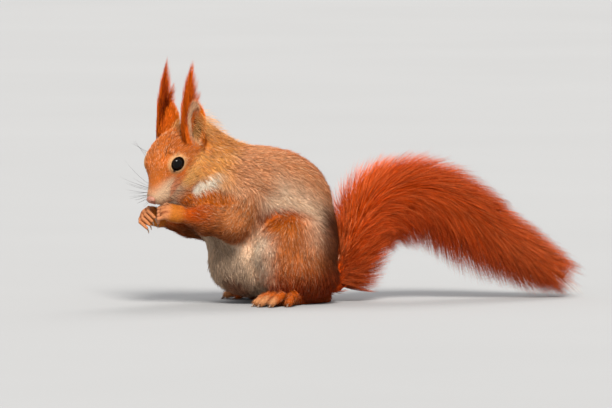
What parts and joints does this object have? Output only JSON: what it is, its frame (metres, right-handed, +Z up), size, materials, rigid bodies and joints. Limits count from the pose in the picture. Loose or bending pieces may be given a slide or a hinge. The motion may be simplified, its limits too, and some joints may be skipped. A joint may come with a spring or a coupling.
{
  "type": "red squirrel",
  "caption": "Life-size still model of a red squirrel that sits on its hind feet and eats from both hands, with tufted ears and a bushy tail laid back along the floor.",
  "frame": {"origin": "centre of the bounding box in plan, on the plane that the soles and the tail's tip rest on", "axes": "+Z up, -X the way the body faces, -Y the squirrel's left, the side its head is turned to"},
  "size_m": [0.2722, 0.094, 0.1498],
  "materials": {
    "orange_fur": "short soft orange fur",
    "grizzled_fur": "dense grizzled russet fur, paler below",
    "tail_hair": "long loose rust-red hair",
    "bare_skin": "bare pinkish skin, matt",
    "claw": "dark horn, smooth",
    "eye": "wet black-brown eye"
  },
  "bodies": {
    "root": {"abdomen": "grizzled_fur", "chest": "grizzled_fur", "ear_left": "orange_fur", "ear_right": "orange_fur", "ear_tuft_left": "tail_hair", "ear_tuft_right": "tail_hair", "eye_left": "eye", "eye_right": "eye", "finger_claw_left_1": "claw", "finger_claw_left_2": "claw", "finger_claw_left_3": "claw", "finger_claw_left_4": "claw", "finger_claw_right_1": "claw", "finger_claw_right_2": "claw", "finger_claw_right_3": "claw", "finger_claw_right_4": "claw", "foot_left": "orange_fur", "foot_right": "orange_fur", "forearm_left": "orange_fur", "forearm_right": "orange_fur", "hand_left": "bare_skin", "hand_right": "bare_skin", "head": "orange_fur", "neck": "orange_fur", "nose": "bare_skin", "shank_left": "grizzled_fur", "shank_right": "grizzled_fur", "tail_1": "tail_hair", "tail_2": "tail_hair", "tail_3": "tail_hair", "tail_4": "tail_hair", "thigh_left": "grizzled_fur", "thigh_right": "grizzled_fur", "toe_claw_left_1": "claw", "toe_claw_left_2": "claw", "toe_claw_left_3": "claw", "toe_claw_left_4": "claw", "toe_claw_left_5": "claw", "toe_claw_right_1": "claw", "toe_claw_right_2": "claw", "toe_claw_right_3": "claw", "toe_claw_right_4": "claw", "toe_claw_right_5": "claw", "upper_arm_left": "grizzled_fur", "upper_arm_right": "grizzled_fur"}
  },
  "joints": []
}
